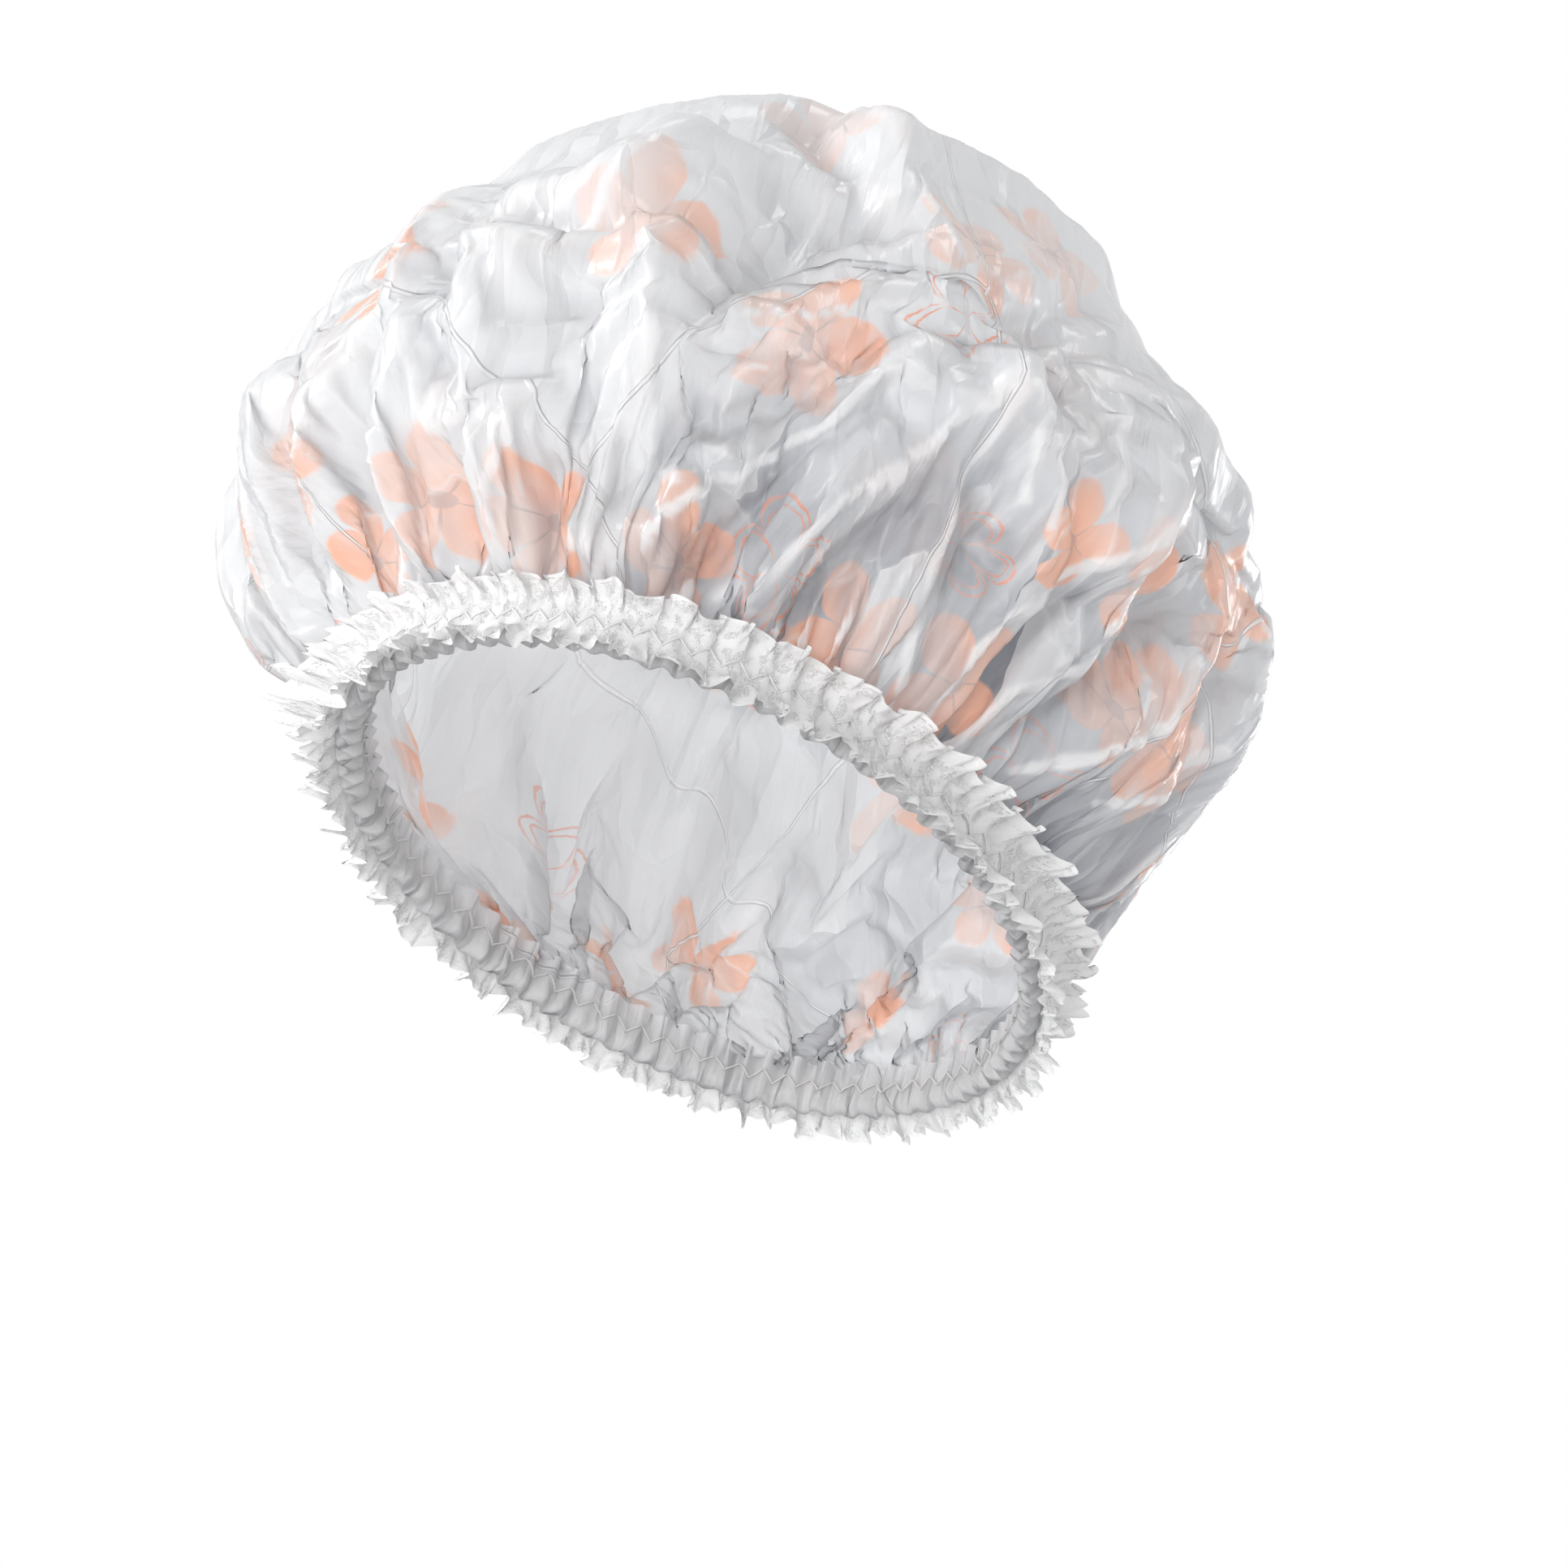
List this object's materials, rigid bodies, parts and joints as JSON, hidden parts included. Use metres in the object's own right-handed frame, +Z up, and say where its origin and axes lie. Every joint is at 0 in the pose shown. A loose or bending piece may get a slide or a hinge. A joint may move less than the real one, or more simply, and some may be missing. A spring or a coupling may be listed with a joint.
{
  "type": "shower cap",
  "caption": "Gathered translucent film shower cap with a printed flower pattern, elastic opening and white lace ruffle, in its worn shape.",
  "frame": {"origin": "centre of the head opening, level with the ruffle's lowest edge", "axes": "+Z up, square to the head opening; -Y is the front of the cap over the forehead, +X is the wearer's left"},
  "size_m": [0.257, 0.2522, 0.1923],
  "materials": {
    "film": "thin milky translucent film, crumpled, glossy, with a pale peach flower print",
    "lace": "gathered white nylon net lace",
    "elastic": "flat white braided elastic",
    "thread": "white polyester sewing thread"
  },
  "bodies": {
    "root": {"crown_film": "film", "lace_ruffle": "lace", "elastic_band": "elastic", "needle_thread": "thread", "bobbin_thread": "thread", "elastic_lap_tack": "thread"}
  },
  "joints": []
}
